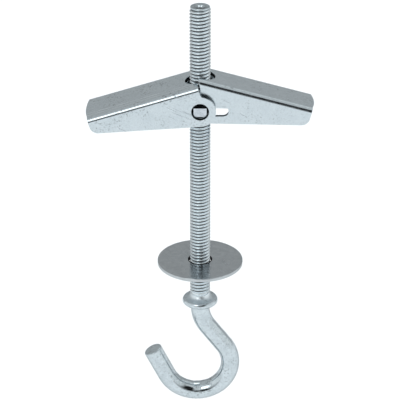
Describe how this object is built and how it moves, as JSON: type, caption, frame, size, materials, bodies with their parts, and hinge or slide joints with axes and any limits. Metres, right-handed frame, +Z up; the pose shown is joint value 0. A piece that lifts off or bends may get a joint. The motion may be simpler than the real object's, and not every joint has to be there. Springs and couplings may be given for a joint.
{
  "type": "spring toggle ceiling hook",
  "caption": "Hollow-wall spring toggle anchor: threaded bolt forged into a round open hook with a collar, loose washer, and a cross nut with folding sprung sheet-steel wings.",
  "frame": {"origin": "on the bolt's axis, in the plane of the washer's upper face, where the board's visible face lies", "axes": "+Z up the bolt, away from the hook; +X towards the tip of the inner (narrow) wing; +Y along the wings' hinge axis, away from the viewer"},
  "size_m": [0.0645, 0.025, 0.1269],
  "materials": {
    "zinc_bolt": "bright bluish zinc plating over rolled and forged steel",
    "zinc_washer": "bright zinc plating, faintly mottled, with fine scratches",
    "zinc_outer_wing": "bright bluish zinc plating over pressed sheet steel",
    "zinc_inner_wing": "bright bluish zinc plating over pressed sheet steel",
    "zinc_nut": "satin zinc plating",
    "spring_steel": "oiled spring wire"
  },
  "bodies": {
    "bolt": {"hook_bolt": "zinc_bolt"},
    "washer": {"washer": "zinc_washer"},
    "toggle": {"trunnion_nut": "zinc_nut", "torsion_spring": "spring_steel"},
    "outer_wing": {"outer_wing": "zinc_outer_wing"},
    "inner_wing": {"inner_wing": "zinc_inner_wing"}
  },
  "joints": [
    {"name": "washer_slide", "type": "slide", "parent": "bolt", "child": "washer", "axis": [0, 0, 1], "range_m": [-0.011, 0.001]},
    {"name": "toggle_travel", "type": "slide", "parent": "bolt", "child": "toggle", "axis": [0, 0, 1], "range_m": [-0.017, 0.024]},
    {"name": "outer_wing_fold", "type": "hinge", "parent": "toggle", "child": "outer_wing", "pos_m": [0, 0, 0.05045], "axis": [0, -1, 0], "range_deg": [0, 77], "stiffness_Nm_per_rad": 0.018, "springref_deg": -17.19, "deforming": ["torsion_spring"]},
    {"name": "inner_wing_fold", "type": "hinge", "parent": "toggle", "child": "inner_wing", "pos_m": [0, 0, 0.05045], "axis": [0, 1, 0], "range_deg": [0, 81], "stiffness_Nm_per_rad": 0.018, "springref_deg": -17.19, "deforming": ["torsion_spring"]}
  ]
}
